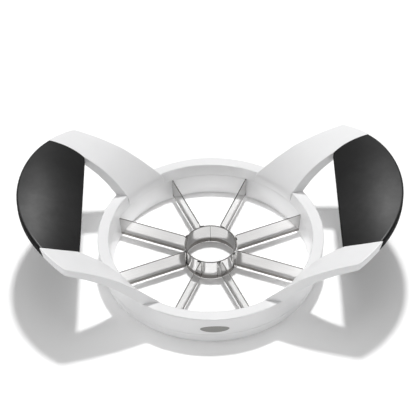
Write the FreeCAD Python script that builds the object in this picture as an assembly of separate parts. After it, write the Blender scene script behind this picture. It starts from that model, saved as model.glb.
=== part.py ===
import FreeCAD, Part
import math
import os

# Apple corer and divider with two raised handles: a white frame with a round opening and two handle
# loops, a lower ring that holds the blades from below, eight radial blades, a round core cutter in the
# middle, two soft grips moulded round the handle bars and one bare oval badge on the front wall.
# Millimetres. +Z is up, +X runs from handle to handle, -Y is the front wall with the badge.
# The origin is the middle of the base, on the surface that the corer stands on.

Vector = FreeCAD.Vector
UP = Vector(0, 0, 1)
ORIGIN = Vector(0, 0, 0)

# The round body: the frame's ring above the split, and the blade carrier below it
RING_OUTER_RADIUS = 57.2
RIM_WIDTH = 5.6
RIM_HEIGHT = 18.7
WALL_TAPER = 1.0
SPLIT_HEIGHT = 12.3
SKIRT_TAPER = 0.6
SKIRT_HEIGHT = 7.4
BASE_TAPER = 1.7
BASE_DRAFT = 0.9
SEAT_WALL = 2.6
RIM_EDGE = 0.5
BASE_EDGE = 0.6
SPLIT_BEVEL = 0.3

RIM_INNER_RADIUS = RING_OUTER_RADIUS - RIM_WIDTH
OPENING_RADIUS = RIM_INNER_RADIUS - WALL_TAPER
SKIRT_RADIUS = RING_OUTER_RADIUS - SKIRT_TAPER
BASE_OUTER_RADIUS = SKIRT_RADIUS - BASE_TAPER
BASE_INNER_RADIUS = OPENING_RADIUS - BASE_DRAFT
SEAT_RADIUS = OPENING_RADIUS + SEAT_WALL

# The cutters
BLADE_COUNT = 8
FIRST_BLADE_ANGLE = 22.5
BLADE_THICKNESS = 0.6
BLADE_UNDERSIDE = 1.1
BLADE_GRIND = 2.0
BLADE_EDGE_THICKNESS = 0.12
SLOT_BACK = 0.8
CORE_RADIUS = 13.3
CORE_WALL = 0.7
CORE_UNDERSIDE = 0.3
CORE_TOP_DROP = 0.3
CORE_GRIND = 2.4
CORE_JOINT_GAP = 0.1
CORE_JOINT_ANGLE = 90.0
TAB_LENGTH = 2.3
BLADE_NOSE = 1.2

# The handle loops seen from above: how far they stand out from the ring, and how wide they are
HANDLE_OVERHANG = 37.5
HANDLE_DEPTH = 31.3
HANDLE_BOW = 25.5
HANDLE_WIDTH = 99.0
ARM_WIDTH = 16.3
ARM_CORNER_ROUND = 4.0
ARM_EDGE = 0.4
SEAM_SPLAY = 14.2
SEAM_TILT = 34.0
# Both edges of an arm run to the ring, and on to these angles at a depth inside the opening's edge
ARM_OUTER_ANGLE = 76.6
ARM_INNER_ANGLE = 36.6
ARM_ROOT_DEPTH = 5.6
ARM_INNER_SAG = 0.7

HANDLE_END = RING_OUTER_RADIUS + HANDLE_OVERHANG
HAND_GAP_X = HANDLE_END - HANDLE_DEPTH
ARM_CORNER_X = HANDLE_END - HANDLE_BOW
ARM_CORNER_Y = HANDLE_WIDTH / 2
HAND_GAP_Y = ARM_CORNER_Y - ARM_WIDTH

# Contour lines of the loop's upper face: rise above the rim, reach beyond the opening's edge and wall
# thickness. The root at the split stands a little proud of the ring's wall, and so covers the rim's edge.
LOOP_ROOT = -0.1
LOOP_ROOT_WALL = 5.3
CONTOURS = (
    (-0.2, 0.85, 5.3),
    (4.8, 2.9, 5.2),
    (9.5, 5.0, 5.1),
    (13.4, 7.5, 5.0),
    (16.7, 10.0, 4.9),
    (19.9, 12.3, 4.7),
    (23.9, 15.2, 4.4),
    (27.5, 19.6, 4.2),
    (30.3, 25.4, 4.0),
    (32.5, 32.4, 4.0),
    (34.1, 42.4, 4.0),
    (35.3, 61.4, 4.0),
)
# How square each contour line is, the root's first: 2 is a circle, more is drawn out to its corners
SQUARENESS_RATIOS = (2.0, 2.0, 2.12, 2.25, 2.33, 2.38, 2.6, 3.15, 4.0, 4.6, 4.9, 5.0, 5.0)
FAN_HALF_ANGLE = 80.0
FAN_STEPS = 16
PROFILE_POINTS = 24

# The soft grips and the bars inside them
GRIP_CROWN = 0.6
GRIP_BELLY = 2.6
GRIP_WALL = 1.2
GRIP_ROUND = 1.0
GRIP_STATIONS = 7
GRIP_OVERSIZE = 3.0
BAR_TENON = 4.0

# The badge on the front wall
BADGE_WIDTH = 14.3
BADGE_HEIGHT = 4.7
BADGE_RISE = 4.05
BADGE_TURN = 1.0
BADGE_DEPTH = 0.5

# Clearances
SEAT_GAP = 0.15
BLADE_GAP = 0.05
TAB_GAP = 0.1
SEAM_GAP = 0.1
BADGE_GAP = 0.05

# More than the height of the whole corer, for shapes that cut all the way through it
THROUGH = 3 * (RIM_HEIGHT + HANDLE_OVERHANG)
TINY = 1e-3


def ring_body(profile):
    """A solid turned about the vertical axis from corner points given as (radius, height)."""
    corners = [Vector(radius, 0, height) for radius, height in profile]
    wire = Part.makePolygon(corners + corners[:1])
    return Part.Face(wire).revolve(ORIGIN, UP, 360)


def ring_sector(profile, start, end):
    """A turned solid between two angles in degrees."""
    corners = [Vector(radius, 0, height) for radius, height in profile]
    wire = Part.makePolygon(corners + corners[:1])
    return polar(Part.Face(wire).revolve(ORIGIN, UP, end - start), start)


def polar(shape, angle):
    """A copy of the shape turned about the vertical axis."""
    turned = shape.copy()
    turned.rotate(ORIGIN, UP, angle)
    return turned


def mirrored(shape):
    """The same shape on the other side of the corer."""
    return shape.mirror(ORIGIN, Vector(1, 0, 0))


def prism(edges, bottom, top):
    """An upright solid on a closed outline of edges that lie at height zero."""
    face = Part.Face(Part.Wire(Part.__sortEdges__(edges)))
    face.translate(UP * bottom)
    return face.extrude(UP * (top - bottom))


def polyline(points):
    """Straight edges from point to point, each point given as (x, y)."""
    spots = [Vector(x, y, 0) for x, y in points]
    return [Part.LineSegment(a, b).toShape() for a, b in zip(spots, spots[1:])]


def arc_through(start, middle, end):
    """The edge of a circle through three points given as (x, y)."""
    return Part.Arc(*[Vector(x, y, 0) for x, y in (start, middle, end)]).toShape()


def spline(points):
    """One smooth edge through the points."""
    curve = Part.BSplineCurve()
    curve.interpolate(points)
    return curve.toShape()


def upright_edges(shape, spots):
    """The upright straight edges of a solid that stand at the given (x, y) spots."""
    chosen = []
    for edge in shape.Edges:
        ends = [vertex.Point for vertex in edge.Vertexes]
        if len(ends) == 2 and math.hypot(ends[0].x - ends[1].x, ends[0].y - ends[1].y) < TINY:
            if any(math.hypot(ends[0].x - x, ends[0].y - y) < TINY for x, y in spots):
                chosen.append(edge)
    return chosen


def squared_radius(angle, reach, squareness):
    """Distance from the axis to a squared circle, in the direction given in degrees."""
    across = abs(math.cos(math.radians(angle))) ** squareness
    along = abs(math.sin(math.radians(angle))) ** squareness
    return reach / (across + along) ** (1 / squareness)


def contours():
    """All contour lines as (height, reach, squareness, wall), from the split up to past the handle."""
    lines = [(SPLIT_HEIGHT, OPENING_RADIUS + LOOP_ROOT, SQUARENESS_RATIOS[0], LOOP_ROOT_WALL)]
    for (rise, reach, wall), squareness in zip(CONTOURS, SQUARENESS_RATIOS[1:]):
        lines.append((RIM_HEIGHT + rise, OPENING_RADIUS + reach, squareness, wall))
    return lines


def loop_profile(angle, inset):
    """Points of the loop's face in one radial direction, moved along its normal by a share of the wall."""
    lines = contours()
    path = [(squared_radius(angle, reach, squareness), height) for height, reach, squareness, _ in lines]
    points = []
    for i, (radius, height) in enumerate(path):
        before, after = path[max(i - 1, 0)], path[min(i + 1, len(path) - 1)]
        run, rise = after[0] - before[0], after[1] - before[1]
        shift = inset * lines[i][3] / math.hypot(run, rise)
        points.append((radius + rise * shift, height - run * shift))
    return points


def loop_face(inset):
    """The smooth face through all contour lines: the upper face at 0, the lower face at 1."""
    rows = []
    for i in range(FAN_STEPS + 1):
        angle = FAN_HALF_ANGLE * (2 * i / FAN_STEPS - 1)
        path = spline([Vector(radius, 0, height) for radius, height in loop_profile(angle, inset)])
        rows.append([polar(Part.Vertex(spot), angle).Point for spot in path.discretize(PROFILE_POINTS)])
    surface = Part.BSplineSurface()
    surface.interpolate(rows)
    return surface.toShape()


def arm_root(angle):
    """The spot inside the ring's opening that one edge of an arm runs to, seen from above."""
    radius = OPENING_RADIUS - ARM_ROOT_DEPTH
    return radius * math.cos(math.radians(angle)), radius * math.sin(math.radians(angle))


def loop_outline():
    """The whole right loop seen from above as an upright solid, without its hand gap."""
    corners = [(ARM_CORNER_X, ARM_CORNER_Y), (ARM_CORNER_X, -ARM_CORNER_Y)]
    edges = polyline([corners[1], arm_root(-ARM_OUTER_ANGLE), (0, 0), arm_root(ARM_OUTER_ANGLE), corners[0]])
    edges.append(arc_through(corners[0], (HANDLE_END, 0), corners[1]))
    solid = prism(edges, SPLIT_HEIGHT, THROUGH)
    return solid.makeFillet(ARM_CORNER_ROUND, upright_edges(solid, corners))


def hand_gap():
    """The hand gap as an upright solid that also runs in over the ring."""
    root_x, root_y = arm_root(ARM_INNER_ANGLE)
    length = math.hypot(HAND_GAP_X - root_x, HAND_GAP_Y - root_y)
    middle_x = (HAND_GAP_X + root_x) / 2 - ARM_INNER_SAG * (HAND_GAP_Y - root_y) / length
    middle_y = (HAND_GAP_Y + root_y) / 2 + ARM_INNER_SAG * (HAND_GAP_X - root_x) / length
    edges = polyline([(HAND_GAP_X, HAND_GAP_Y), (HAND_GAP_X, -HAND_GAP_Y)])
    edges += polyline([(root_x, root_y), (0, 0), (root_x, -root_y)])
    for side in (1, -1):
        spots = [(HAND_GAP_X, HAND_GAP_Y), (middle_x, middle_y), (root_x, root_y)]
        edges.append(arc_through(*[(x, side * y) for x, y in spots]))
    return prism(edges, 0, THROUGH)


def seam_y(x):
    """Distance of the seam from the middle of the handle, along the handle's top."""
    return HAND_GAP_Y + math.tan(math.radians(SEAM_SPLAY)) * (x - HAND_GAP_X)


def seam_zone(spread):
    """The wedge between both seams, moved apart by the spread. It leans out at the handle's outer wall."""
    near, far = HAND_GAP_X - GRIP_OVERSIZE, HANDLE_END + GRIP_OVERSIZE
    outer_x = (ARM_CORNER_X + HANDLE_END) / 2
    level = loop_height(outer_x, seam_y(outer_x), 0)
    lean = math.tan(math.radians(SEAM_TILT)) / (outer_x - HAND_GAP_X)
    wires = []
    for height in (RIM_HEIGHT, RIM_HEIGHT + CONTOURS[-1][0] + GRIP_CROWN + ARM_EDGE):
        turn = lean * (level - height)
        sides = [seam_y(x) + turn * (x - HAND_GAP_X) + spread for x in (near, far)]
        corners = [(near, sides[0]), (far, sides[1]), (far, -sides[1]), (near, -sides[0])]
        spots = [Vector(x, y, height) for x, y in corners]
        wires.append(Part.makePolygon(spots + spots[:1]))
    return Part.makeLoft(wires, True, True)


def is_upright(face):
    """Whether the face stands straight up, as the walls of everything cut from above do."""
    start, end, left, right = face.ParameterRange
    return abs(face.normalAt((start + end) / 2, (left + right) / 2).z) < TINY


def long_edges(arm, rank):
    """The edges between an arm's upright walls and its upper face, the largest, or its lower face."""
    rims = [edge for wall in arm.Faces if is_upright(wall) for edge in wall.Edges]
    face = sorted(arm.Faces, key=lambda face: -face.Area)[rank]
    return [edge for edge in face.Edges if any(edge.isSame(rim) for rim in rims)]


def loop_arms():
    """Both arms of the right loop, from inside the ring wall to the seams of the grip."""
    above = loop_face(0).extrude(UP * -THROUGH)
    below = loop_face(1).extrude(UP * -THROUGH)
    arms = above.cut(below).common(loop_outline().cut(hand_gap())).cut(seam_zone(0)).Solids
    for rank in (0, 1):
        arms = [arm.makeFillet(ARM_EDGE, long_edges(arm, rank)) for arm in arms]
    return arms


def handle_half_length():
    """Half of the length over which the handle's block is made, to past both seams."""
    return ARM_CORNER_Y - HANDLE_BOW / 4


def loop_height(x, y, inset):
    """Height of the loop's upper or lower face over one spot, seen from above."""
    profile = loop_profile(math.degrees(math.atan2(y, x)), inset)
    path = spline([Vector(radius, 0, height) for radius, height in profile])
    plumb = Part.makeLine(Vector(math.hypot(x, y), 0, 0), Vector(math.hypot(x, y), 0, THROUGH))
    return path.distToShape(plumb)[1][0][0].z


def seam_levels():
    """The loop's upper and lower height along the seam, as (x, upper, lower)."""
    levels = []
    for i in range(GRIP_STATIONS + 1):
        x = HAND_GAP_X - GRIP_OVERSIZE + (HANDLE_DEPTH + 2 * GRIP_OVERSIZE) * i / GRIP_STATIONS
        levels.append((x, loop_height(x, seam_y(x), 0), loop_height(x, seam_y(x), 1)))
    return levels


def handle_section(y, inset, levels):
    """A closed outline across the handle at one place along it, drawn in by the inset above and below."""
    swell = max(1 - (y / seam_y(HANDLE_END)) ** 2, 0)
    upper, lower = [], []
    for x, top, bottom in levels:
        share = min(max((x - HAND_GAP_X) / HANDLE_DEPTH, 0), 1)
        hump = 4 * share * (1 - share) * swell
        upper.append(Vector(x, y, top + GRIP_CROWN * hump - inset))
        lower.append(Vector(x, y, bottom - GRIP_BELLY * hump + inset))
    ends = [Part.LineSegment(upper[-1], lower[-1]).toShape(), Part.LineSegment(lower[0], upper[0]).toShape()]
    return Part.Wire([spline(upper), ends[0], spline(lower[::-1]), ends[1]])


def handle_block(inset):
    """The handle's upper and lower faces as a solid that is wider than its outline."""
    levels, half = seam_levels(), handle_half_length()
    places = [half * (2 * i / (GRIP_STATIONS - 1) - 1) for i in range(GRIP_STATIONS)]
    return Part.makeLoft([handle_section(y, inset, levels) for y in places], True)


def handle_outline(inset):
    """The handle seen from above, between the hand gap and the outer edge, as an upright solid."""
    inner, outer, half = HAND_GAP_X + inset, HANDLE_END - inset, handle_half_length()
    radius = (HANDLE_BOW ** 2 + ARM_CORNER_Y ** 2) / (2 * HANDLE_BOW)
    outer_x = HANDLE_END - radius + math.sqrt((radius - inset) ** 2 - half ** 2)
    edges = polyline([(outer_x, -half), (inner, -half), (inner, half), (outer_x, half)])
    edges.append(arc_through((outer_x, half), (outer, 0), (outer_x, -half)))
    return prism(edges, 0, THROUGH)


def handle_bar():
    """The stiff bar inside one grip, run a little way into both arms."""
    return handle_block(GRIP_WALL).common(handle_outline(GRIP_WALL)).common(seam_zone(BAR_TENON))


def grip():
    """The soft sleeve round the handle bar, flush with the arms at both seams."""
    block = handle_block(0).common(handle_outline(0)).Solids[0]
    rims = [edge for edge in block.Edges if edge.BoundBox.YLength > ARM_CORNER_Y]
    return block.makeFillet(GRIP_ROUND, rims).common(seam_zone(-SEAM_GAP)).cut(handle_bar())


def upper_frame():
    """The ring with its flat rim and skirt, one piece with both arm pairs and handle bars."""
    ring = ring_body((
        (OPENING_RADIUS, SPLIT_HEIGHT),
        (SEAT_RADIUS + SEAT_GAP, SPLIT_HEIGHT),
        (SEAT_RADIUS + SEAT_GAP, SKIRT_HEIGHT),
        (SKIRT_RADIUS, SKIRT_HEIGHT),
        (RING_OUTER_RADIUS, RIM_HEIGHT),
        (RIM_INNER_RADIUS, RIM_HEIGHT),
    ))
    rim = [edge for edge in ring.Edges if edge.BoundBox.ZMin > RIM_HEIGHT - TINY and edge.Closed]
    ring = ring.makeFillet(RIM_EDGE, rim)
    right = loop_arms() + [handle_bar()]
    return ring.fuse(right + [mirrored(shape) for shape in right]).cut(badge_pocket())


def blade_angles():
    return [FIRST_BLADE_ANGLE + 360 / BLADE_COUNT * i for i in range(BLADE_COUNT)]


def blade_reach():
    """Distance from the axis to the outer end of a blade."""
    return SEAT_RADIUS - SLOT_BACK - BLADE_GAP


def blade_slot():
    """The cut in the lower ring that takes one blade end, for a blade that points along +X."""
    width = BLADE_THICKNESS + 2 * BLADE_GAP
    slot = Part.makeBox(SEAT_RADIUS - SLOT_BACK - CORE_RADIUS, width, SPLIT_HEIGHT)
    slot.translate(Vector(CORE_RADIUS, -width / 2, BLADE_UNDERSIDE - BLADE_GAP))
    return slot


def lower_ring():
    """The ring that carries the blade ends, with a shoulder under the frame's skirt."""
    ring = ring_body((
        (BASE_INNER_RADIUS, 0),
        (BASE_OUTER_RADIUS, 0),
        (SKIRT_RADIUS, SKIRT_HEIGHT - SPLIT_BEVEL),
        (SKIRT_RADIUS - SPLIT_BEVEL, SKIRT_HEIGHT),
        (SEAT_RADIUS, SKIRT_HEIGHT),
        (SEAT_RADIUS, SPLIT_HEIGHT),
        (OPENING_RADIUS + SPLIT_BEVEL, SPLIT_HEIGHT),
        (OPENING_RADIUS, SPLIT_HEIGHT - SPLIT_BEVEL),
    ))
    foot = [edge for edge in ring.Edges if edge.BoundBox.ZMax < TINY and edge.Closed]
    ring = ring.makeFillet(BASE_EDGE, foot)
    return ring.cut([polar(blade_slot(), angle) for angle in blade_angles()])


def blade():
    """One blade along +X with its ground lower edge and the tab that is welded to the core ring."""
    half, edge = BLADE_THICKNESS / 2, BLADE_EDGE_THICKNESS / 2
    grind = BLADE_UNDERSIDE + BLADE_GRIND
    section = [(-half, SPLIT_HEIGHT), (half, SPLIT_HEIGHT), (half, grind), (edge, BLADE_UNDERSIDE),
               (-edge, BLADE_UNDERSIDE), (-half, grind)]
    inner, outer = CORE_RADIUS + TAB_GAP, CORE_RADIUS + TAB_GAP + BLADE_THICKNESS
    start = (inner + outer) / 2
    wire = Part.makePolygon([Vector(start, y, z) for y, z in section + section[:1]])
    strip = Part.Face(wire).extrude(Vector(blade_reach() - start, 0, 0))
    nose = [edge for edge in strip.Edges if edge.BoundBox.XMax < start + TINY
            and edge.BoundBox.ZMin > SPLIT_HEIGHT - TINY]
    strip = strip.makeFillet(BLADE_NOSE, nose)
    top = SPLIT_HEIGHT - BLADE_NOSE
    profile = [(inner, grind), (outer, grind), (outer, top), (inner, top)]
    tab = ring_sector(profile, -math.degrees(TAB_LENGTH / outer), math.degrees(half / outer))
    return strip.fuse(tab).removeSplitter()


def core_ring():
    """The round cutter in the middle: a rolled strip with a ground lower edge and an open butt joint."""
    top = SPLIT_HEIGHT - CORE_TOP_DROP
    ring = ring_body((
        (CORE_RADIUS - BLADE_EDGE_THICKNESS, CORE_UNDERSIDE),
        (CORE_RADIUS, CORE_UNDERSIDE),
        (CORE_RADIUS, top),
        (CORE_RADIUS - CORE_WALL, top),
        (CORE_RADIUS - CORE_WALL, CORE_UNDERSIDE + CORE_GRIND),
    ))
    joint = Part.makeBox(CORE_RADIUS, CORE_JOINT_GAP, SPLIT_HEIGHT)
    joint.translate(Vector(CORE_RADIUS / 2, -CORE_JOINT_GAP / 2, 0))
    return ring.cut(polar(joint, CORE_JOINT_ANGLE))


def badge_outline(grow):
    """The badge's oval as a bar that runs through the front wall."""
    oval = Part.Ellipse(ORIGIN, BADGE_WIDTH / 2 + grow, BADGE_HEIGHT / 2 + grow).toShape()
    face = Part.Face(Part.Wire([oval]))
    face.rotate(ORIGIN, Vector(1, 0, 0), 90)
    face.translate(Vector(0, -RING_OUTER_RADIUS - BADGE_HEIGHT, SKIRT_HEIGHT + BADGE_RISE))
    return polar(face.extrude(Vector(0, OPENING_RADIUS, 0)), BADGE_TURN)


def badge_shell(proud):
    """The front wall's own curve as a thin turned shell, from inside the wall to just outside it."""
    slope = SKIRT_TAPER / (RIM_HEIGHT - SKIRT_HEIGHT)
    corners = []
    for rise in (BADGE_RISE - BADGE_HEIGHT, BADGE_RISE + BADGE_HEIGHT):
        wall = SKIRT_RADIUS + slope * rise
        corners.append([(wall + radial, SKIRT_HEIGHT + rise) for radial in (-BADGE_DEPTH, proud)])
    return ring_body(corners[0] + corners[1][::-1])


def badge_pocket():
    return badge_shell(BADGE_DEPTH).common(badge_outline(0))


def badge():
    """The bare oval badge, let into its pocket and flush with the wall."""
    return badge_shell(0).common(badge_outline(-BADGE_GAP))


def save(name, shape):
    """Writes one piece, and prints how many solids it has and its volume."""
    solids = shape.Solids
    whole = solids[0] if len(solids) == 1 else Part.makeCompound(solids)
    whole.exportStep("parts/" + name + ".step")
    print(name, len(solids), "solid", whole.isValid(), round(whole.Volume, 1))


def main():
    os.makedirs("parts", exist_ok=True)
    save("upper_frame", upper_frame())
    save("lower_ring", lower_ring())
    save("core_ring", core_ring())
    for number, angle in enumerate(blade_angles(), 1):
        save("blade_%d" % number, polar(blade(), angle))
    sleeve = grip()
    save("grip_right", sleeve)
    save("grip_left", mirrored(sleeve))
    save("badge", badge())


if __name__ == "__main__":
    main()
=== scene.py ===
# %% [markdown]
# An apple corer with two raised handles. It is pressed down over an apple: eight blades part the fruit
# into slices, and the round cutter in the middle takes out the core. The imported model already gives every
# piece its size and place. This lesson gives each piece its finish and its small details, and sets the
# light.

import math

import bpy
from mathutils import Matrix, Vector


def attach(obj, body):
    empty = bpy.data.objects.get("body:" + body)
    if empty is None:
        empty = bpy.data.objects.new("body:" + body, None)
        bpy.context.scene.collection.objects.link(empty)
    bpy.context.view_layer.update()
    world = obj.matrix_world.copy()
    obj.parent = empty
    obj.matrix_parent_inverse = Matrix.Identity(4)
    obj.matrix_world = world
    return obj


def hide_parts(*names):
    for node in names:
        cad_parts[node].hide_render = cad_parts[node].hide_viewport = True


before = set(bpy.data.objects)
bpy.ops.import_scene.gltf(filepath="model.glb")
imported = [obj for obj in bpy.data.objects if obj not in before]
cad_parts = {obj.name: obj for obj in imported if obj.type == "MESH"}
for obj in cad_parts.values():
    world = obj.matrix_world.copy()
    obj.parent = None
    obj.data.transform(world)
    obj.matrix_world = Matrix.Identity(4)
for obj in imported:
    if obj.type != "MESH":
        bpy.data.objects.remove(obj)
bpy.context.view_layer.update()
scene = bpy.context.scene
MM = 0.001
print("packed pieces:", ", ".join(sorted(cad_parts)))

# %% [markdown]
# The blades and the core cutter are made again further down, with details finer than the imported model's.
# Their heights and radii could be typed in, but then a change to the model would leave them behind. So
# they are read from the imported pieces, whose points lie on the true surfaces.

# %% The cutters' heights and radii
def reach(node):
    """The lowest, highest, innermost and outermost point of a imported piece, seen from the middle axis."""
    points = [vertex.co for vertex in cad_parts[node].data.vertices]
    heights, radii = [point.z for point in points], [point.xy.length for point in points]
    return min(heights), max(heights), min(radii), max(radii)


BLADE_UNDERSIDE, BLADE_TOP, BLADE_INNER, BLADE_OUTER = reach("blade_1")
CORE_UNDERSIDE, CORE_TOP, CORE_BORE, CORE_RADIUS = reach("core_ring")
for node in ("blade_1", "core_ring"):
    print(node, "heights %.2f to %.2f mm, radii %.2f to %.2f mm" % tuple(size / MM for size in reach(node)))

# %% [markdown]
# The camera looks down on the corer from the front, as a cook would. It could be set by eye, but its angle,
# distance and lens can also be worked out, from the round rim, the round cutter and the straight blades,
# whose true shapes are known. That was done here, because it is exact. The aim lies a little above the
# middle of the blades, so the handles and their shadows fill the frame.

# %% The camera
FRAME_PIXELS, FOCAL_PIXELS, SENSOR_WIDTH = 416, 1575.4, 36.0
CAMERA_DISTANCE = 0.8
ELEVATION, AZIMUTH, ROLL = math.radians(46.036), math.radians(-0.387), math.radians(-0.831)
# how many pixels the middle of the blades lies to the right of the picture's middle, and below it
MIDDLE_RIGHT, MIDDLE_DOWN = 2.7, 35.4

back = Vector((math.sin(AZIMUTH) * math.cos(ELEVATION), -math.cos(AZIMUTH) * math.cos(ELEVATION),
               math.sin(ELEVATION)))
sideways = Vector((math.cos(AZIMUTH), math.sin(AZIMUTH), 0))
upright = back.cross(sideways)
across = math.cos(ROLL) * sideways + math.sin(ROLL) * upright
above = math.cos(ROLL) * upright - math.sin(ROLL) * sideways
look = (-FOCAL_PIXELS * back + MIDDLE_DOWN * above - MIDDLE_RIGHT * across).normalized()
right = (across - across.dot(look) * look).normalized()
top = right.cross(look)

camera = bpy.data.objects.new("camera", bpy.data.cameras.new("camera"))
camera.data.sensor_width = SENSOR_WIDTH
camera.data.lens = SENSOR_WIDTH * FOCAL_PIXELS / FRAME_PIXELS
camera.matrix_world = Matrix.Translation(Vector((0, 0, BLADE_TOP)) + CAMERA_DISTANCE * back) @ \
    Matrix((right, top, -look)).transposed().to_4x4()
scene.collection.objects.link(camera)
scene.camera = camera
print("lens %.1f mm, %.2f m from the blades" % (camera.data.lens, CAMERA_DISTANCE))

# %% [markdown]
# The light is a studio's. A sun lamp would be simpler, but its shadows are all parallel and equally sharp.
# The key lamp hangs one metre up and a little behind the corer, throws the short shadows towards the
# viewer, and is near enough for the shadows of the two handles to spread apart. A weaker, much wider lamp
# right above it lifts the shadows that the low ring throws. An area lamp's size sets how soft a shadow's
# edge is, and its power is worked out from the light that should reach the corer.

# %% The lamps
# each lamp: its place and its width in metres, and its light at the corer in watts per square metre
LAMPS = {"key lamp": ((0.029, 0.346, 1.06), 0.09, 1.95), "overhead lamp": ((0.0, 0.0, 1.0), 0.5, 0.38)}
scene.view_settings.view_transform = "Standard"

for name, (place, width, light) in LAMPS.items():
    lamp = bpy.data.objects.new(name, bpy.data.lights.new(name, "AREA"))
    lamp.data.shape = "DISK"
    lamp.data.size = width
    lamp.data.energy = light * math.pi * Vector(place).length_squared
    lamp.location = place
    lamp.rotation_euler = Vector(place).to_track_quat("Z", "Y").to_euler()
    scene.collection.objects.link(lamp)
    print("%s: %.1f W" % (name, lamp.data.energy))


# %% [markdown]
# Every finish is made of nodes. They could be placed by hand in the node editor, but as code they can be
# read, changed and used again. The first helper adds a node, sets its properties, and joins or fills its
# inputs. The others are the small steps that come up most, so each finish reads as a short recipe.

# %% Helpers that add nodes
def add(tree, kind, inputs=None, **settings):
    """Adds a node. An input given as another node's socket is linked, and any other is filled in."""
    made = tree.nodes.new(kind)
    for name, value in settings.items():
        setattr(made, name, value)
    for name, value in (inputs or {}).items():
        socket = made.inputs[name]
        if isinstance(value, bpy.types.NodeSocket):
            tree.links.new(value, socket)
        else:
            socket.default_value = value
    return made


def work_out(tree, operation, *terms):
    """One step of arithmetic, with the operation named as the Math node names it."""
    return add(tree, "ShaderNodeMath", dict(enumerate(terms)), operation=operation).outputs[0]


def remap(tree, value, low, high, to_low, to_high, **settings):
    """A value from low to high made one from to_low to to_high, and kept between those two."""
    limits = {"Value": value, "From Min": low, "From Max": high, "To Min": to_low, "To Max": to_high}
    return add(tree, "ShaderNodeMapRange", limits, **settings).outputs[0]


def split(tree, vector):
    """The three numbers in a vector, as sockets that are called X, Y and Z."""
    return add(tree, "ShaderNodeSeparateXYZ", {0: vector}).outputs


def join(tree, x=0.0, y=0.0, z=0.0):
    """Three numbers made one vector."""
    return add(tree, "ShaderNodeCombineXYZ", {"X": x, "Y": y, "Z": z}).outputs[0]


def ray_kinds(tree):
    """The kinds of ray, and a mask of those that are mirrored or have passed through something clear."""
    rays = add(tree, "ShaderNodeLightPath").outputs
    return rays, work_out(tree, "MAXIMUM", rays["Is Glossy Ray"], rays["Is Transmission Ray"])


print("helpers:", ", ".join(helper.__name__ for helper in (add, work_out, remap, split, join, ray_kinds)))

# %% [markdown]
# The room is white where the camera sees it. Its soft light comes from wide panels in front and at both
# sides, 24 to 33 degrees up, so the upright walls stay pale and the shadows stay clear. The panels could
# be more lamps, but those would show in the steel. As part of the world they light the corer and show
# nowhere. Each counts by how far a direction turns to its side, and fades above and below its own rise,
# which is the height of a direction one unit long. Reflections find a room of an even grey, which keeps
# the grips black.

# %% The white room
FRONT_PANEL, LEFT_PANEL, RIGHT_PANEL = 0.96, 3.0, 2.15
FRONT_RISE, SIDE_RISE, PANEL_REACH = 0.55, 0.4, 0.3
ROOM_MIRRORED, ROOM_SEEN = 0.12, 1.0
WHITE = (1, 1, 1, 1)

world = bpy.data.worlds.new("white room")
world.use_nodes = True
scene.world = world
room = world.node_tree
room.nodes.clear()
direction = add(room, "ShaderNodeTexCoord").outputs["Generated"]
toward = split(room, direction)
squared = add(room, "ShaderNodeVectorMath", {0: direction, 1: direction}, operation="MULTIPLY").outputs[0]
squared = split(room, squared)


def panel(power, rise):
    """The light of one panel, at its full power at its own rise and fading above and below."""
    off = work_out(room, "ABSOLUTE", work_out(room, "SUBTRACT", toward["Z"], rise))
    return work_out(room, "MULTIPLY", power, remap(room, off, 0.0, PANEL_REACH, 1.0, 0.0))


to_the_right = work_out(room, "GREATER_THAN", toward["X"], 0.0)
to_the_front = work_out(room, "LESS_THAN", toward["Y"], 0.0)
side_power = remap(room, to_the_right, 0.0, 1.0, LEFT_PANEL, RIGHT_PANEL)
front_power = work_out(room, "MULTIPLY", to_the_front, FRONT_PANEL)
panels = work_out(room, "MULTIPLY_ADD", squared["X"], panel(side_power, SIDE_RISE),
                  work_out(room, "MULTIPLY", squared["Y"], panel(front_power, FRONT_RISE)))
soft = work_out(room, "DIVIDE", panels, work_out(room, "ADD", squared["X"], squared["Y"]))
room_rays, room_mirrored = ray_kinds(room)
lit = remap(room, room_mirrored, 0.0, 1.0, soft, ROOM_MIRRORED)
strength = remap(room, room_rays["Is Camera Ray"], 0.0, 1.0, lit, ROOM_SEEN)
sky = add(room, "ShaderNodeBackground", {"Color": WHITE, "Strength": strength})
add(room, "ShaderNodeOutputWorld", {"Surface": sky.outputs[0]})
print("white room:", len(room.nodes), "nodes")

# %% [markdown]
# The floor is a plain white sweep. It takes the corer's shadows, which tell the eye how high the handles
# stand. Its faint glow is painted light: only bounced rays see it, not the camera, and it lifts the walls
# that face down to it. One white shader would be simpler, but this one can tell the rays apart. The camera
# and the reflections see the floor a little paler than it lights the corer, so the lit floor reaches pure
# white. Inside the ring the floor is painted paler still, both as seen and as it lights the walls: painted
# light that lifts the blades' shadows and the inner walls. Far away, where the lamps no longer reach, the
# sweep is white by itself and meets the room unseen.

# %% The floor's finish
FLOOR_GLOW = 0.15
# inside the ring the floor gives back and shows more light than outside: painted light that lifts the
# shadows there
FLOOR_BOUNCE_INSIDE, FLOOR_BOUNCE_OUTSIDE = 1.6, 0.95
FLOOR_SEEN_INSIDE, FLOOR_SEEN_OUTSIDE = 1.24, 1.03
INSIDE_RADIUS, INSIDE_FADE = 48 * MM, 2 * MM
SWEEP_START, SWEEP_END = 0.25, 0.9

floor_finish = bpy.data.materials.new("white floor")
floor_finish.use_nodes = True
sweep = floor_finish.node_tree
sweep.nodes.clear()
spot = add(sweep, "ShaderNodeTexCoord").outputs["Object"]
radius = add(sweep, "ShaderNodeVectorMath", {0: spot}, operation="LENGTH").outputs["Value"]


def by_radius(inside, outside):
    """One value inside the ring and another outside it, with a short fade between them."""
    return remap(sweep, radius, INSIDE_RADIUS, INSIDE_RADIUS + INSIDE_FADE, inside, outside)


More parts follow.
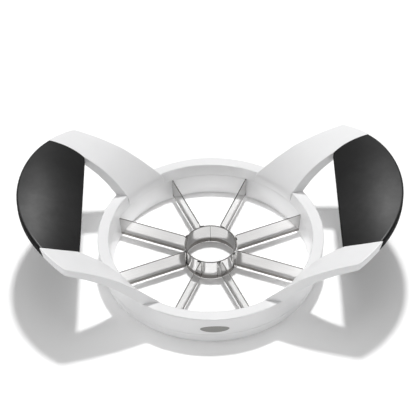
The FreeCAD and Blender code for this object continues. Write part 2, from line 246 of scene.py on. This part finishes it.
floor_rays, floor_mirrored = ray_kinds(sweep)
seen = work_out(sweep, "MAXIMUM", floor_rays["Is Camera Ray"], floor_mirrored)
shade = remap(sweep, seen, 0.0, 1.0, by_radius(FLOOR_BOUNCE_INSIDE, FLOOR_BOUNCE_OUTSIDE),
              by_radius(FLOOR_SEEN_INSIDE, FLOOR_SEEN_OUTSIDE))
# painted light: a glow that only bounced rays see, not the camera
glow = work_out(sweep, "MULTIPLY", floor_rays["Is Diffuse Ray"], FLOOR_GLOW)
far = remap(sweep, radius, SWEEP_START, SWEEP_END, 0.0, 1.0)
shine = work_out(sweep, "MULTIPLY_ADD", floor_rays["Is Camera Ray"], far, glow)
matt = add(sweep, "ShaderNodeBsdfDiffuse", {"Color": shade})
painted_glow_and_backdrop = add(sweep, "ShaderNodeEmission", {"Strength": shine})
both = add(sweep, "ShaderNodeAddShader", {0: matt.outputs[0], 1: painted_glow_and_backdrop.outputs[0]})
add(sweep, "ShaderNodeOutputMaterial", {"Surface": both.outputs[0]})
print(floor_finish.name, "has", len(sweep.nodes), "nodes")

# %% [markdown]
# A studio hangs a curved sheet of paper behind the object, to hide where the floor ends. Since this floor
# turns white by itself far away, one flat square that is wide enough does the same with a single face.

# %% The floor
FLOOR_SIZE = 4.0
half = FLOOR_SIZE / 2
floor_mesh = bpy.data.meshes.new("floor")
floor_mesh.from_pydata([(-half, -half, 0), (half, -half, 0), (half, half, 0), (-half, half, 0)], [],
                       [(0, 1, 2, 3)])
floor_mesh.materials.append(floor_finish)
floor = bpy.data.objects.new("floor", floor_mesh)
scene.collection.objects.link(floor)
print("floor: %.1f m wide" % FLOOR_SIZE)


# %% [markdown]
# Plastic and steel are never perfectly even, and both get their unevenness from noise. It could be set up
# again in every material, but a node group is built once, and each material gives it its own values. These
# helpers make a group with named sockets, add a noise, let a value wander with it, and end the group.

# %% Helpers for node groups
# nearly every value that a noise texture gives lies between these two
NOISE_LOW, NOISE_HIGH = 0.3, 0.7


def new_group(name, inputs, outputs):
    """A shader node group with named sockets. Each socket is (name, kind) or (name, kind, value)."""
    group = bpy.data.node_groups.new(name, "ShaderNodeTree")
    for side, sockets in (("INPUT", inputs), ("OUTPUT", outputs)):
        for title, kind, *value in sockets:
            socket = group.interface.new_socket(title, in_out=side, socket_type="NodeSocket" + kind)
            if value:
                socket.default_value = value[0]
    return group, add(group, "NodeGroupInput").outputs, add(group, "NodeGroupOutput").inputs


def noise(tree, place, scale, detail, roughness=0.5):
    """A noise texture. Its scale is about how many grains there are in one unit of the place."""
    inputs = {"Vector": place, "Scale": scale, "Detail": detail, "Roughness": roughness}
    return add(tree, "ShaderNodeTexNoise", inputs).outputs["Fac"]


def vary(tree, pattern, amount):
    """A factor that follows a noise up and down from 1, by the given amount at most."""
    swing = remap(tree, pattern, NOISE_LOW, NOISE_HIGH, -1.0, 1.0)
    return work_out(tree, "MULTIPLY_ADD", swing, amount, 1.0)


def put_out(tree, given, result, brightness, dullness, relief, depth, height):
    """Ends a group: its colour and roughness times a factor each, and a relief made a normal."""
    tone = add(tree, "ShaderNodeVectorMath", {0: given["Colour"], "Scale": brightness}, operation="SCALE")
    bump = add(tree, "ShaderNodeBump", {"Height": relief, "Strength": depth, "Distance": height})
    tree.links.new(tone.outputs[0], result["Colour"])
    tree.links.new(work_out(tree, "MULTIPLY", given["Roughness"], dullness), result["Roughness"])
    tree.links.new(bump.outputs[0], result["Normal"])


print("group helpers:", ", ".join(helper.__name__ for helper in (new_group, noise, vary, put_out)))

# %% [markdown]
# A moulded plastic skin drifts a little in colour, and under a lens it has the fine orange-peel of the
# mould. A picture of plastic could be laid over the pieces, but it would need unwrapping and would show
# seams. Noise that is read at each point in space has neither.

# %% The moulded skin group
CLOUD_SCALE, CLOUD_DETAIL, CLOUD_ROUGHNESS = 90.0, 6.0, 0.62
PEEL_DETAIL, PEEL_HEIGHT = 2.0, 0.1 * MM

skin, skin_given, skin_result = new_group(
    "moulded skin",
    [("Colour", "Color"), ("Drift", "Float", 0.03), ("Roughness", "Float", 0.4),
     ("Peel size", "Float", 1500.0), ("Peel depth", "Float", 0.1)],
    [("Colour", "Color"), ("Roughness", "Float"), ("Normal", "Vector"), ("Polish", "Float")])
coordinates = add(skin, "ShaderNodeTexCoord").outputs
cloud = noise(skin, coordinates["Object"], CLOUD_SCALE, CLOUD_DETAIL, CLOUD_ROUGHNESS)
peel = noise(skin, coordinates["Object"], skin_given["Peel size"], PEEL_DETAIL)
drift = vary(skin, cloud, skin_given["Drift"])
put_out(skin, skin_given, skin_result, drift, drift, peel, skin_given["Peel depth"], PEEL_HEIGHT)
print("moulded skin:", len(skin.nodes), "nodes")

# %% [markdown]
# The grips' sheen is painted light: a mask for the coat makes the faces that look up glossy and leaves
# the sides dull, most of all in one spot where the highlight falls. It could be painted onto each grip
# by hand. A mask does it for both at once: one part of it follows the way that a face looks, and the
# other is a soft spot in plan, with left and right folded together.

# %% The grips' painted sheen
# a face gets the painted sheen from where its normal rises this much, and in full from the second value on
SHEEN_FACING_STARTS, SHEEN_FACING_FULL = 0.55, 0.95
# where the spot of painted sheen lies in plan on the right grip, where the highlight falls, how far it
# reaches, and what is left beyond
SHEEN_SPOT_PLACE, SHEEN_SPOT_REACH, SHEEN_LEAST = (80 * MM, -10 * MM, 0.0), 36 * MM, 0.45

# painted sheen: the coat shows on faces that look up, and most at the spot where the highlight falls
facing_up = remap(skin, split(skin, coordinates["Normal"])["Z"], SHEEN_FACING_STARTS, SHEEN_FACING_FULL, 0.0, 1.0)
grip_point = split(skin, coordinates["Object"])
in_plan = join(skin, work_out(skin, "ABSOLUTE", grip_point["X"]), grip_point["Y"])
away = add(skin, "ShaderNodeVectorMath", {0: in_plan, 1: SHEEN_SPOT_PLACE}, operation="DISTANCE").outputs["Value"]
sheen_spot = remap(skin, away, 0.0, SHEEN_SPOT_REACH, 1.0, SHEEN_LEAST, interpolation_type="SMOOTHSTEP")
painted_sheen = work_out(skin, "MULTIPLY", facing_up, work_out(skin, "MULTIPLY", sheen_spot, drift))
skin.links.new(painted_sheen, skin_result["Polish"])
print("moulded skin with polish:", len(skin.nodes), "nodes")


# %% [markdown]
# The frame and the lower ring are a white plastic with a soft gloss, and the badge is a grey one. The
# grips are a black rubber with a deeper orange-peel. It hardly mirrors anything by itself, and its sheen
# is a coat whose weight is painted sheen, on the faces that look up and where the highlight falls. Each
# finish could be built anew, but since they share the skin, they differ only in a few numbers. What is
# the same all over a piece is set on the shader itself.

# %% The plastics
def new_finish(name, group, values):
    """Makes a material that a group gives its colour, roughness and normal to, and returns all three."""
    finish = bpy.data.materials.new(name)
    finish.use_nodes = True
    tree = finish.node_tree
    surface = tree.nodes["Principled BSDF"]
    effect = add(tree, "ShaderNodeGroup", values, node_tree=group)
    for title, source in (("Base Color", "Colour"), ("Roughness", "Roughness"), ("Normal", "Normal")):
        tree.links.new(effect.outputs[source], surface.inputs[title])
    print("%s: colour %.3f, %.3f, %.3f" % (name, *values["Colour"][:3]))
    return finish, surface, effect


def moulded(name, colour, roughness, drift, peel_size, peel_depth, **shell):
    """A plastic or rubber finish with the moulded skin. Its painted sheen shows only if a coat is asked for.
    """
    values = {"Colour": (*colour, 1), "Roughness": roughness, "Drift": drift, "Peel size": peel_size,
              "Peel depth": peel_depth}
    finish, surface, effect = new_finish(name, skin, values)
    for title, value in shell.items():
        surface.inputs[title.replace("_", " ")].default_value = value
    if "Coat_IOR" in shell:
        # the coat's weight is the painted sheen mask
        finish.node_tree.links.new(effect.outputs["Polish"], surface.inputs["Coat Weight"])
    return finish


white_moulding = moulded("white moulding", (0.80, 0.80, 0.805), 0.35, 0.012, 1800.0, 0.10)
soft_black = moulded("soft black grip", (0.005, 0.005, 0.0052), 0.80, 0.20, 2600.0, 0.30,
                     Specular_IOR_Level=0.15, Coat_IOR=1.85, Coat_Roughness=0.41)
badge_grey = moulded("badge grey", (0.265, 0.263, 0.25), 0.35, 0.04, 3000.0, 0.15)

# %% [markdown]
# The cutters are stainless strip. Rolling leaves faint lines along its length, and handling leaves stains
# that are a little duller or brighter. An anisotropic shader could stretch the highlights, but it draws no
# lines. Here the noise itself is stretched along the strip. The strip's own coordinates are kept on the
# mesh by the pieces that use it, so the lines also follow a strip that is bent or turned.

# %% The rolled steel group
LINES_ALONG, LINES_ACROSS, LINE_DETAIL, LINE_HEIGHT = 60.0, 9000.0, 3.0, 0.03 * MM
STAIN_SCALE, STAIN_DETAIL, STAIN_STRENGTH = 180.0, 2.0, 0.15

rolled, rolled_given, rolled_result = new_group(
    "rolled strip",
    [("Place", "Vector"), ("Colour", "Color"), ("Roughness", "Float", 0.2), ("Lines", "Float", 0.1)],
    [("Colour", "Color"), ("Roughness", "Float"), ("Normal", "Vector")])
stretch = (LINES_ALONG, LINES_ACROSS, LINES_ACROSS)
stretched = add(rolled, "ShaderNodeVectorMath", {0: rolled_given["Place"], 1: stretch},
                operation="MULTIPLY")
lines = noise(rolled, stretched.outputs[0], 1.0, LINE_DETAIL)
stains = noise(rolled, rolled_given["Place"], STAIN_SCALE, STAIN_DETAIL)
put_out(rolled, rolled_given, rolled_result, vary(rolled, lines, rolled_given["Lines"]),
        vary(rolled, stains, STAIN_STRENGTH), lines, rolled_given["Lines"], LINE_HEIGHT)
print("rolled strip:", len(rolled.nodes), "nodes")


# %% [markdown]
# One steel shows four finishes. The strip's faces are as rolled. The outside of the core cutter is a paler
# copy of the same steel: painted light, so that it mirrors brighter. The ground edges are darker, with
# stronger lines, and a sheared edge is the darkest and dullest. They could be one material with masks, but
# four plain ones are easier to read and to put on a face.

# %% The steels
def steel(name, colour, roughness, lines):
    """A bare steel finish whose rolling lines follow the piece's own strip coordinates."""
    finish, surface, effect = new_finish(
        name, rolled, {"Colour": (*colour, 1), "Roughness": roughness, "Lines": lines})
    surface.inputs["Metallic"].default_value = 1.0
    place = add(finish.node_tree, "ShaderNodeAttribute", attribute_name="strip")
    finish.node_tree.links.new(place.outputs["Vector"], effect.inputs["Place"])
    return finish


strip_steel = steel("rolled strip steel", (0.65, 0.645, 0.64), 0.06, 0.08)
# painted light: the core's outside is a paler copy of the strip steel, so that it mirrors brighter
paler_outside_steel = steel("strip steel painted paler outside", (0.80, 0.795, 0.79), 0.06, 0.08)
ground_steel = steel("ground edge steel", (0.42, 0.40, 0.385), 0.13, 0.20)
sheared_steel = steel("sheared edge steel", (0.20, 0.195, 0.19), 0.35, 0.20)

# %% [markdown]
# The frame, the lower ring, the grips and the badge already have their true shapes. They could be made
# again in Blender, but nothing would be gained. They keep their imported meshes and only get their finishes.
# Assigning to a material slot leaves the mesh untouched.

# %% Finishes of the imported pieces
FINISHES = {"upper_frame": white_moulding, "lower_ring": white_moulding, "grip_left": soft_black,
            "grip_right": soft_black, "badge": badge_grey}
for node, finish in FINISHES.items():
    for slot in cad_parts[node].material_slots:
        slot.material = finish
    print(node, "in", finish.name)

# %% [markdown]
# The eight blades are one strip shape, repeated round the middle. On the real tool each is a flat steel
# strip, ground thin along its lower edge, with its inner end bent round the core cutter. They could be
# eight modelled pieces, or one and an Array modifier. Geometry Nodes suit them better: a path in plan, a
# cross-section swept along it, and copies set round a circle. The tree starts with its named sizes.

# %% The blade star's sizes
BLADE_COUNT, FIRST_ANGLE = 8, math.radians(22.5)
BLADE_THICKNESS, CUTTING_EDGE, BLADE_GROUND = 0.6 * MM, 0.12 * MM, 2.0 * MM
TAB_LENGTH, BEND_RADIUS, NOSE = 2.3 * MM, 0.6 * MM, 1.2 * MM
# the outermost points are the two corners of the blade's end, half a thickness off its middle line
blade_end = math.sqrt(BLADE_OUTER ** 2 - (BLADE_THICKNESS / 2) ** 2)

star = bpy.data.node_groups.new("blade star", "GeometryNodeTree")
SIZES = {"Blades": BLADE_COUNT, "First angle": FIRST_ANGLE, "Thickness": BLADE_THICKNESS,
         "Underside": BLADE_UNDERSIDE, "Ground height": BLADE_GROUND, "Top": BLADE_TOP,
         "Cutting edge": CUTTING_EDGE, "Inner radius": BLADE_INNER, "Outer radius": blade_end,
         "Tab": TAB_LENGTH, "Bend": BEND_RADIUS, "Nose": NOSE}
for title, value in SIZES.items():
    kind = "NodeSocketInt" if isinstance(value, int) else "NodeSocketFloat"
    star.interface.new_socket(title, in_out="INPUT", socket_type=kind).default_value = value
star.interface.new_socket("Geometry", in_out="OUTPUT", socket_type="NodeSocketGeometry")
size = add(star, "NodeGroupInput").outputs
print("blade star:", len(SIZES), "sizes")


# %% [markdown]
# Seen from above, a blade is a line: the tab that lies on the core cutter, the bend, and the straight run
# out to the ring. It could be a curve drawn by hand. Four points on a mesh line, each sent to its stop by
# its number, follow every change of size instead, and Fillet Curve rounds the bend.

# %% The blade's path in plan
def calc(operation, *terms):
    """One step of arithmetic in the blade star tree."""
    return work_out(star, operation, *terms)


BEND_STEPS = 6
seat = calc("MULTIPLY_ADD", size["Thickness"], 0.5, size["Inner radius"])
nose_end = calc("ADD", seat, size["Nose"])
turn = calc("DIVIDE", size["Tab"], seat)
tab_x = calc("MULTIPLY", seat, calc("COSINE", turn))
tab_y = calc("MULTIPLY", seat, calc("SINE", calc("MULTIPLY", turn, -1.0)))
stops = [join(star, tab_x, tab_y), join(star, seat), join(star, nose_end), join(star, size["Outer radius"])]

number = add(star, "GeometryNodeInputIndex").outputs[0]
chosen = add(star, "GeometryNodeIndexSwitch", data_type="VECTOR")
while len(chosen.index_switch_items) < len(stops):
    chosen.index_switch_items.new()
star.links.new(number, chosen.inputs["Index"])
for i, stop in enumerate(stops):
    star.links.new(stop, chosen.inputs[i + 1])
chain = add(star, "GeometryNodeMeshLine", {"Count": len(stops)})
chain = add(star, "GeometryNodeSetPosition", {"Geometry": chain.outputs[0], "Position": chosen.outputs[0]})
path = add(star, "GeometryNodeMeshToCurve", {"Mesh": chain.outputs[0]})
path = add(star, "GeometryNodeFilletCurve",
           {"Curve": path.outputs[0], "Radius": size["Bend"], "Count": BEND_STEPS}, mode="POLY")
path = add(star, "GeometryNodeSetCurveNormal", {"Curve": path.outputs[0]}, mode="Z_UP")
print("path:", len(stops), "stops, with", BEND_STEPS, "steps in a bend")

# %% [markdown]
# A cut across a blade shows a tall thin box that is drawn in, along its lower part, to the cutting edge.
# The outline could be drawn point by point, but a rectangle that is cut once on each side already has a
# point wherever one is needed. It goes from -1 to 1 for now, and its upper half is the one to narrow,
# because the sweep stands it on its head.

# %% The blade's cross-section
position = add(star, "GeometryNodeInputPosition").outputs[0]
point = split(star, position)
card = add(star, "GeometryNodeCurvePrimitiveQuadrilateral", {"Width": size["Thickness"], "Height": 2.0},
           mode="RECTANGLE")
card = add(star, "GeometryNodeSubdivideCurve", {"Curve": card.outputs[0], "Cuts": 1})
narrow = remap(star, point["Y"], 0.0, 1.0, 1.0, calc("DIVIDE", size["Cutting edge"], size["Thickness"]))
drawn_in = join(star, calc("MULTIPLY", point["X"], narrow), point["Y"])
card = add(star, "GeometryNodeSetPosition", {"Geometry": card.outputs[0], "Position": drawn_in})
strip = add(star, "GeometryNodeCurveToMesh",
            {"Curve": path.outputs[0], "Profile Curve": card.outputs[0], "Fill Caps": True})
print("cross-section: %.2f mm, drawn in to %.2f mm" % (BLADE_THICKNESS / MM, CUTTING_EDGE / MM))

# %% [markdown]
# The swept strip gets its true heights: -1 becomes the underside, 0 the top of the ground band, and 1 the
# top edge, which is rounded off beside the core cutter. A Boolean could cut that corner off, but points
# that only move up or down leave cleaner faces. Before the strip is turned, its coordinates are stored on
# it for the rolling lines. One Position node is enough throughout, because every step reads it anew.

# %% The blade's heights
ground = calc("ADD", size["Underside"], size["Ground height"])
inward = remap(star, point["X"], seat, nose_end, 1.0, 0.0)
round_off = calc("SUBTRACT", 1.0, calc("SQRT", calc("SUBTRACT", 1.0, calc("MULTIPLY", inward, inward))))
edge_height = calc("MULTIPLY_ADD", round_off, calc("MULTIPLY", size["Nose"], -1.0), size["Top"])
upper = remap(star, point["Z"], 0.0, 1.0, ground, edge_height)
lower = remap(star, point["Z"], -1.0, 0.0, size["Underside"], ground)
is_low = calc("LESS_THAN", point["Z"], 0.0)
height = add(star, "ShaderNodeMix", {"Factor": is_low, "A": upper, "B": lower}).outputs[0]
raised = join(star, point["X"], point["Y"], height)
strip = add(star, "GeometryNodeSetPosition", {"Geometry": strip.outputs[0], "Position": raised})
strip = add(star, "GeometryNodeStoreNamedAttribute",
            {"Geometry": strip.outputs[0], "Name": "strip", "Value": position},
            data_type="FLOAT_VECTOR", domain="POINT")
print("heights: %.1f, %.1f and %.1f mm" % tuple(
    high / MM for high in (BLADE_UNDERSIDE, BLADE_UNDERSIDE + BLADE_GROUND, BLADE_TOP)))

# %% [markdown]
# Each kind of face has its own finish: rolled, sheared along the top edge, and ground below. The faces
# could be picked by number, but those numbers change with the sizes. Height and direction don't. Each test
# gives 1 for yes and 0 for no, so tests that are multiplied are 1 only where all of them are. The strip is
# then copied onto points, one for each blade, and turned to its place. Realize Instances makes the copies
# real, because the export drops instances.

# %% The blade's finishes and its copies
# a face looks up where its normal rises more than this, and a sheared one is at most this share of the nose
# below the top
LOOKS_UP, TOP_SHARE = 0.6, 0.3

strip = add(star, "GeometryNodeSetMaterial", {"Geometry": strip.outputs[0], "Material": strip_steel})
facing = split(star, add(star, "GeometryNodeInputNormal").outputs[0])["Z"]
looks_up = calc("GREATER_THAN", facing, LOOKS_UP)
top_band = calc("MULTIPLY", size["Nose"], TOP_SHARE)
is_high = calc("GREATER_THAN", point["Z"], calc("SUBTRACT", size["Top"], top_band))
is_off_tab = calc("GREATER_THAN", point["X"], seat)
is_sheared = calc("MULTIPLY", looks_up, calc("MULTIPLY", is_high, is_off_tab))
strip = add(star, "GeometryNodeSetMaterial",
            {"Geometry": strip.outputs[0], "Selection": is_sheared, "Material": sheared_steel})

spots = add(star, "GeometryNodePoints", {"Count": size["Blades"]})
step = calc("DIVIDE", 2 * math.pi, size["Blades"])
turned = join(star, z=calc("MULTIPLY_ADD", number, step, size["First angle"]))
copies = add(star, "GeometryNodeInstanceOnPoints",
             {"Points": spots.outputs[0], "Instance": strip.outputs[0], "Rotation": turned})
whole = add(star, "GeometryNodeRealizeInstances", {"Geometry": copies.outputs[0]})
is_ground = calc("LESS_THAN", point["Z"], ground)
whole = add(star, "GeometryNodeSetMaterial",
            {"Geometry": whole.outputs[0], "Selection": is_ground, "Material": ground_steel})
add(star, "NodeGroupOutput", {"Geometry": whole.outputs[0]})
print("blade star tree:", len(star.nodes), "nodes")


# %% [markdown]
# So it is run on an empty object and its result is kept. Sharp edges are marked by angle, so the flat
# faces stay crisp and only the bends are smooth.

# %% The blades
def from_tree(name, tree):
    """Runs a Geometry Nodes tree and returns its result as a plain mesh object."""
    carrier = bpy.data.objects.new(name, bpy.data.meshes.new(name))
    scene.collection.objects.link(carrier)
    carrier.modifiers.new("nodes", "NODES").node_group = tree
    made = bpy.data.meshes.new_from_object(carrier.evaluated_get(bpy.context.evaluated_depsgraph_get()))
    carrier.modifiers.clear()
    carrier.data = made
    made.name = name
    return carrier


BLADE_CREASE = math.radians(35)
blades = from_tree("blades", star)
blades.data.shade_smooth()
blades.data.set_sharp_from_angle(angle=BLADE_CREASE)
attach(blades, "root")
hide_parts(*["blade_%d" % i for i in range(1, 9)])
print("blades:", len(blades.data.polygons), "faces")

# %% [markdown]
# The core cutter is a strip rolled into a ring. Its ends meet in a butt joint at the back, seen as a fine
# dark line, and its lower edge is ground on the inside. The darker ground finish covers the lowest band of
# both walls, higher than the grinding itself reaches. A Screw modifier could turn a cross-section into the
# ring, but it would then be the same all round. In mesh code, three loops of points stand close together
# at the joint, and the middle one dips into the wall.

# %% The core cutter's loops of points
CORE_GROUND = 2.4 * MM
# how far up the inner and the outer wall the darker ground finish reaches
DARK_BAND_INSIDE, DARK_BAND_OUTSIDE = 3.2 * MM, 2.7 * MM
JOINT_WIDTH, JOINT_DEPTH, JOINT_ANGLE = 0.16 * MM, 0.22 * MM, math.radians(90)
ROUNDING = 0.08 * MM
CORE_SEGMENTS = 120


def section(groove):
    """The ring's cross-section as (radius, height) points, with each wall cut back by the groove."""
    outer_wall, inner_wall = CORE_RADIUS - groove, CORE_BORE + groove
    return [(outer_wall - CUTTING_EDGE, CORE_UNDERSIDE), (outer_wall, CORE_UNDERSIDE),
            (outer_wall, CORE_UNDERSIDE + DARK_BAND_OUTSIDE), (outer_wall, CORE_TOP - ROUNDING),
            (outer_wall - ROUNDING, CORE_TOP), (inner_wall + ROUNDING, CORE_TOP),
            (inner_wall, CORE_TOP - ROUNDING), (inner_wall, CORE_UNDERSIDE + DARK_BAND_INSIDE),
            (inner_wall, CORE_UNDERSIDE + CORE_GROUND)]


# each loop: its angle from the joint, and the depth of the groove there
half_joint = JOINT_WIDTH / 2 / CORE_RADIUS
plain_loops = [(2 * math.pi * i / CORE_SEGMENTS, 0.0) for i in range(1, CORE_SEGMENTS)]
loops = plain_loops + [(-half_joint, 0.0), (0.0, JOINT_DEPTH), (half_joint, 0.0)]
corners = []
for turn_from_joint, groove in loops:
    angle = JOINT_ANGLE + turn_from_joint
    corners += [(radius * math.cos(angle), radius * math.sin(angle), z) for radius, z in section(groove)]
per_loop = len(section(0.0))
print("core cutter:", len(loops), "loops of", per_loop, "points")

# %% [markdown]
# Faces join each loop to the next, and the last to the first, so the ring is closed. Each point also keeps
# its place on the strip as it was before rolling: along it, through it and up it. Blender's UV map could
# hold that too, but an attribute holds all three numbers and needs no unwrapping.

# %% The core cutter's mesh
sides = []
for i in range(len(loops)):
    here, beyond = i * per_loop, (i + 1) % len(loops) * per_loop
    for j in range(per_loop):
        after = (j + 1) % per_loop
        sides.append((here + j, beyond + j, beyond + after, here + after))
core_mesh = bpy.data.meshes.new("core cutter")
core_mesh.from_pydata(corners, [], sides)
on_strip = core_mesh.attributes.new("strip", "FLOAT_VECTOR", "POINT")
for i, (x, y, z) in enumerate(corners):
    on_strip.data[i].vector = (CORE_RADIUS * math.atan2(-x, y), math.hypot(x, y), z)
print("core cutter:", len(core_mesh.polygons), "faces")

# %% [markdown]
# The finishes go on face by face. They could be painted in Edit Mode, but a rule is quicker and fits every
# size: the joint and the top are sheared, the lowest band of both walls gets the darker ground finish, and
# above it the inside is as rolled and the outside gets the paler copy, which is painted light.

# %% The core cutter's finishes
CORE_CREASE = math.radians(25)
OUTSIDE, INSIDE, GROUND, SHEARED = range(4)
for finish in (paler_outside_steel, strip_steel, ground_steel, sheared_steel):
    core_mesh.materials.append(finish)
dark_band_top = CORE_UNDERSIDE + max(DARK_BAND_INSIDE, DARK_BAND_OUTSIDE)
middle_of_wall = (CORE_BORE + CORE_RADIUS) / 2
for i, face in enumerate(core_mesh.polygons):
    in_joint = len(plain_loops) <= i // per_loop < len(loops) - 1
    if in_joint or face.normal.z > LOOKS_UP:
        face.material_index = SHEARED
    elif face.center.z < dark_band_top:
        face.material_index = GROUND
    else:
        # the outside gets the paler copy of the steel: painted light
        face.material_index = INSIDE if face.center.xy.length < middle_of_wall else OUTSIDE
core_mesh.shade_smooth()
core_mesh.set_sharp_from_angle(angle=CORE_CREASE)
core_cutter = bpy.data.objects.new("core_cutter", core_mesh)
scene.collection.objects.link(core_cutter)
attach(core_cutter, "root")
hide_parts("core_ring")
print("core cutter:", len(core_mesh.materials), "finishes")
